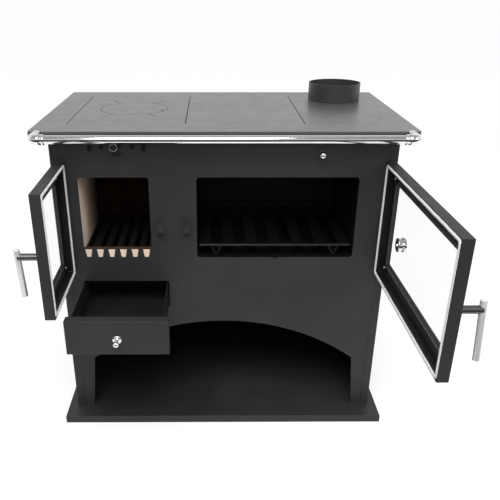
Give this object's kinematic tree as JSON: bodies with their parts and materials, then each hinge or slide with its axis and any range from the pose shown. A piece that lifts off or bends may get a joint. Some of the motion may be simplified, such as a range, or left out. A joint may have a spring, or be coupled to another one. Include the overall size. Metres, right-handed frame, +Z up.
{
  "type": "wood cookstove",
  "caption": "Wood-burning range cooker with a glazed firebox and oven door, ash drawer, grey hob with a round lid, flue collar, chrome rail and an arched log niche.",
  "frame": {"origin": "centre of the underside of the base plate, on the floor", "axes": "+Z up, -Y towards the user at the front, +X to the right as seen from the front"},
  "size_m": [0.8711, 1.0038, 0.7932],
  "materials": {
    "body_paint": "matt charcoal paint with a fine grain",
    "bare_sheet": "dark rolled sheet",
    "drawer_paint": "matt black",
    "enamel": "black enamel",
    "hob_steel": "grey satin cooking plate",
    "chrome": "polished chrome",
    "dark_steel": "dark turned steel",
    "brick": "light fire brick",
    "cast_iron": "black cast iron",
    "liner_paint": "black heat paint",
    "glass": "clear heat-proof glass",
    "rope": "braided glass-fibre rope",
    "steel_bright": "plated steel",
    "stainless": "brushed stainless",
    "post_metal": "dark turned steel",
    "dial_white": "white dial",
    "pointer_black": "black pointer"
  },
  "bodies": {
    "stove_body": {"base_plate": "body_paint", "base_stiffener": "bare_sheet", "side_panel_left": "body_paint", "side_panel_right": "body_paint", "front_panel": "body_paint", "back_panel": "bare_sheet", "floor_pan": "bare_sheet", "divider_plate": "bare_sheet", "hob_frame": "hob_steel", "hob_plate": "hob_steel", "lid_seat_ring": "bare_sheet", "flue_blanking_disc": "hob_steel", "flue_collar": "hob_steel", "rail_tube": "chrome", "rail_bracket_left": "chrome", "rail_bracket_right": "chrome", "firebox_shell": "bare_sheet", "firebrick_left": "brick", "firebrick_right": "brick", "firebrick_back": "brick", "firebrick_front": "brick", "grate": "cast_iron", "ash_chute": "bare_sheet", "oven_box": "enamel", "oven_shelf": "enamel", "drawer_runners": "bare_sheet", "rear_baffle": "bare_sheet", "damper_bushes": "dark_steel", "latch_keepers": "body_paint", "door_hinges": "body_paint"},
    "fire_door": {"fire_door_frame": "body_paint", "fire_door_liner": "liner_paint", "fire_door_glass": "glass", "fire_door_gasket": "rope", "fire_door_clips": "liner_paint", "fire_door_screws": "steel_bright"},
    "fire_handle": {"fire_handle_post": "post_metal", "fire_handle_bar": "stainless", "fire_latch_tongue": "steel_bright"},
    "oven_door": {"oven_door_frame": "body_paint", "oven_door_liner": "liner_paint", "oven_door_glass": "glass", "oven_door_gasket": "rope", "oven_door_clips": "liner_paint", "oven_door_screws": "steel_bright", "thermometer_case": "steel_bright", "thermometer_dial": "dial_white"},
    "oven_handle": {"oven_handle_post": "post_metal", "oven_handle_bar": "stainless", "oven_latch_tongue": "steel_bright"},
    "pointer": {"thermometer_pointer": "pointer_black"},
    "ash_drawer": {"drawer_front": "body_paint", "drawer_box": "drawer_paint", "drawer_knob": "chrome"},
    "air_control": {"air_slide": "bare_sheet", "air_knob": "chrome"},
    "damper": {"damper_knob": "chrome", "damper_rod": "bare_sheet", "damper_plate": "bare_sheet"},
    "lid": {"hob_lid": "hob_steel"}
  },
  "joints": [
    {"name": "fire_door_hinge", "type": "hinge", "parent": "stove_body", "child": "fire_door", "pos_m": [-0.3675, -0.223, 0.53945], "axis": [0, 0, -1], "range_deg": [-89.1, 18]},
    {"name": "fire_handle_turn", "type": "hinge", "parent": "fire_door", "child": "fire_handle", "pos_m": [-0.37866, -0.4422, 0.53945], "axis": [0.9999, 0.0157, 0], "range_deg": [-8.5, 81.5]},
    {"name": "oven_door_hinge", "type": "hinge", "parent": "stove_body", "child": "oven_door", "pos_m": [0.3736, -0.223, 0.53945], "axis": [0, 0, 1], "range_deg": [-90.6, 18]},
    {"name": "oven_handle_turn", "type": "hinge", "parent": "oven_door", "child": "oven_handle", "pos_m": [0.39303, -0.68382, 0.53945], "axis": [0.9999, 0.0105, 0], "range_deg": [0, 98.5]},
    {"name": "thermometer_needle", "type": "hinge", "parent": "oven_door", "child": "pointer", "pos_m": [0.38946, -0.34284, 0.526], "axis": [-0.9999, -0.0105, 0], "range_deg": [-120, 120]},
    {"name": "ash_drawer_slide", "type": "slide", "parent": "stove_body", "child": "ash_drawer", "axis": [0, -1, 0], "range_m": [-0.2, 0.07]},
    {"name": "air_slide_shift", "type": "slide", "parent": "stove_body", "child": "air_control", "axis": [1, 0, 0], "range_m": [0, 0.013]},
    {"name": "damper_pull", "type": "slide", "parent": "stove_body", "child": "damper", "axis": [0, -1, 0], "range_m": [0, 0.06]},
    {"name": "hob_lid_lift", "type": "slide", "parent": "stove_body", "child": "lid", "axis": [0, 0, 1], "range_m": [0, 0.08]}
  ]
}
